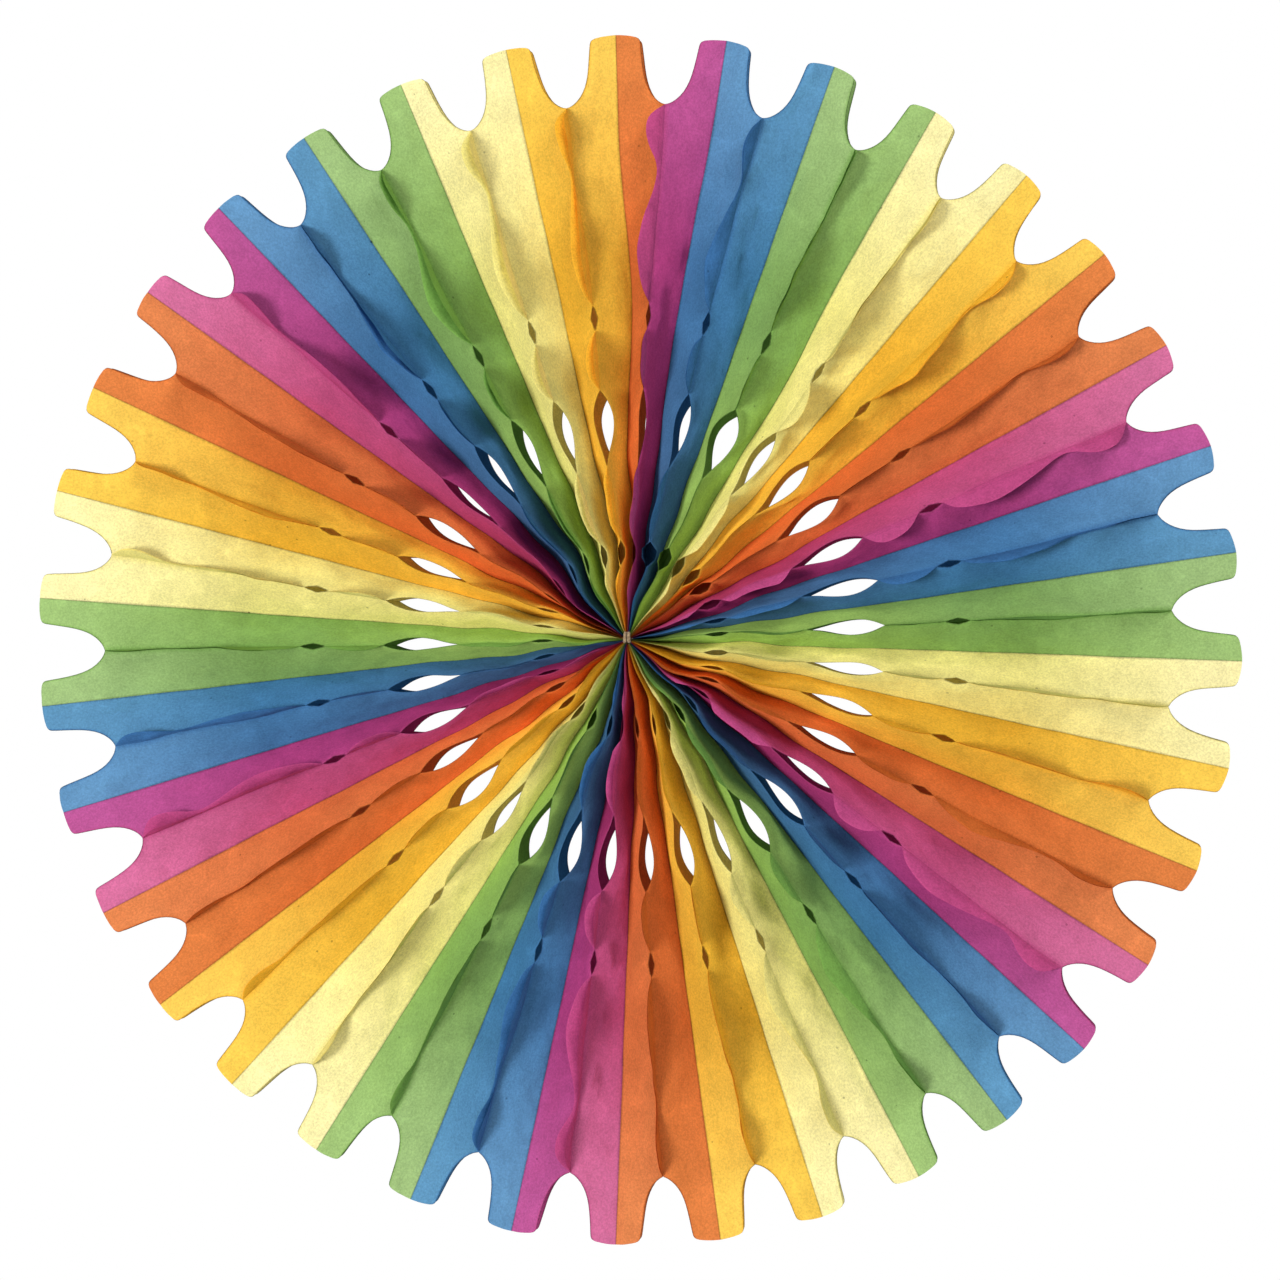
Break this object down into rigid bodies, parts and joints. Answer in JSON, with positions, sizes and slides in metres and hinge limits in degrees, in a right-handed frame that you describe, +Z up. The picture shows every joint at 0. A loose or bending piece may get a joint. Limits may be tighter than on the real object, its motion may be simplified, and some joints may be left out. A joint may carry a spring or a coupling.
{
  "type": "paper fan rosette",
  "caption": "Round hanging rosette of die-cut tissue paper in rainbow pleats, with wavy flaps, slots and a notched rim.",
  "frame": {"origin": "on the hub's axis, midway between the tissue's front and back glued edges, where the string tie goes through the hub", "axes": "-Y is the way the face looks, +Z is up as it hangs and +X is to the right of a viewer who faces it"},
  "size_m": [0.6343, 0.0656, 0.6348],
  "materials": {
    "magenta_tissue": "matte",
    "blue_tissue": "matte",
    "green_tissue": "matte",
    "pale_yellow_tissue": "matte",
    "amber_tissue": "matte",
    "orange_tissue": "matte",
    "string": "matte"
  },
  "bodies": {
    "root": {"amber_pair_04": "amber_tissue", "amber_pair_10": "amber_tissue", "amber_pair_16": "amber_tissue", "amber_pair_22": "amber_tissue", "amber_pair_28": "amber_tissue", "amber_pair_34": "amber_tissue", "blue_pair_01": "blue_tissue", "blue_pair_07": "blue_tissue", "blue_pair_13": "blue_tissue", "blue_pair_19": "blue_tissue", "blue_pair_25": "blue_tissue", "blue_pair_31": "blue_tissue", "first_magenta_sheet": "magenta_tissue", "green_pair_02": "green_tissue", "green_pair_08": "green_tissue", "green_pair_14": "green_tissue", "green_pair_20": "green_tissue", "green_pair_26": "green_tissue", "green_pair_32": "green_tissue", "hub_tie": "string", "last_orange_sheet": "orange_tissue", "magenta_pair_06": "magenta_tissue", "magenta_pair_12": "magenta_tissue", "magenta_pair_18": "magenta_tissue", "magenta_pair_24": "magenta_tissue", "magenta_pair_30": "magenta_tissue", "orange_pair_05": "orange_tissue", "orange_pair_11": "orange_tissue", "orange_pair_17": "orange_tissue", "orange_pair_23": "orange_tissue", "orange_pair_29": "orange_tissue", "pale_yellow_pair_03": "pale_yellow_tissue", "pale_yellow_pair_09": "pale_yellow_tissue", "pale_yellow_pair_15": "pale_yellow_tissue", "pale_yellow_pair_21": "pale_yellow_tissue", "pale_yellow_pair_27": "pale_yellow_tissue", "pale_yellow_pair_33": "pale_yellow_tissue"}
  },
  "joints": []
}
